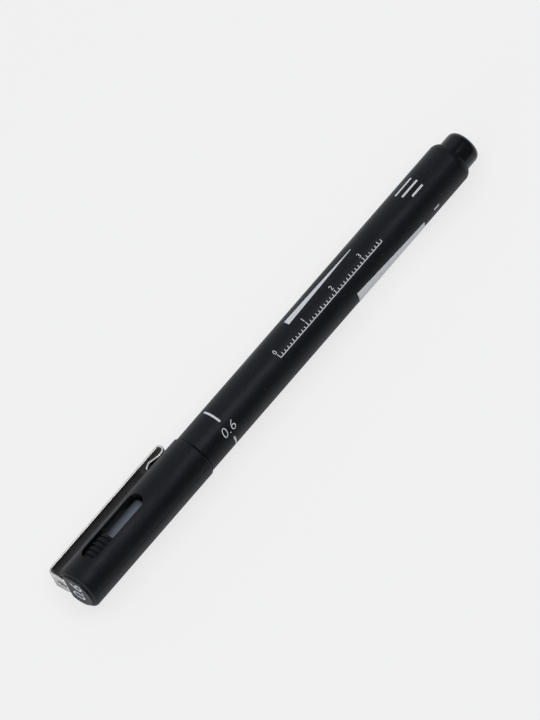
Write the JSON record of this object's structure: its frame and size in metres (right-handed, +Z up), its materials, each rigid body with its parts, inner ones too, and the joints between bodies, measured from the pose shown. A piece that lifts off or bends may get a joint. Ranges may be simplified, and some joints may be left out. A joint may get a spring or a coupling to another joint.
{
  "type": "fineliner pen",
  "caption": "Capped fineliner pen with a slim round barrel, a pull-off cap with side windows and a sprung steel pocket clip, and a fine nib in a steel sleeve.",
  "frame": {"origin": "on the pen's axis, half way along the barrel's visible wall", "axes": "+X along the axis from the cap to the tail, +Y to the clip's side, +Z up with the pen lying down"},
  "size_m": [0.1388, 0.0142, 0.0114],
  "materials": {
    "barrel_plastic": "fine matt moulding",
    "plug_plastic": "satin moulding",
    "fibre": "ink-soaked fibre",
    "film": "clear film",
    "nose_plastic": "satin moulding",
    "sleeve_steel": "drawn tube",
    "nib_plastic": "ink-stained plastic",
    "cap_plastic": "fine matt moulding",
    "inner_plastic": "gloss moulding",
    "disc_plastic": "dark grey satin",
    "clip_steel": "polished strip"
  },
  "bodies": {
    "barrel": {"barrel": "barrel_plastic", "tail_plug": "plug_plastic", "ink_reservoir": "fibre", "reservoir_film": "film", "relay_wick": "fibre", "nib_holder": "nose_plastic", "nib_sleeve": "sleeve_steel", "nib": "nib_plastic"},
    "cap": {"outer_cap": "cap_plastic", "inner_cap": "inner_plastic", "cap_end_disc": "disc_plastic", "clip_root": "clip_steel"},
    "clip_arm": {"clip_arm": "clip_steel"}
  },
  "joints": [
    {"name": "cap_pull", "type": "slide", "parent": "barrel", "child": "cap", "axis": [-1, 0, 0], "range_m": [0, 0.05]},
    {"name": "clip_flex", "type": "hinge", "parent": "cap", "child": "clip_arm", "pos_m": [-0.0878, 0.00679, -0.00319], "axis": [0, 0.4247, 0.9053], "range_deg": [0, 4], "stiffness_Nm_per_rad": 0.05}
  ]
}
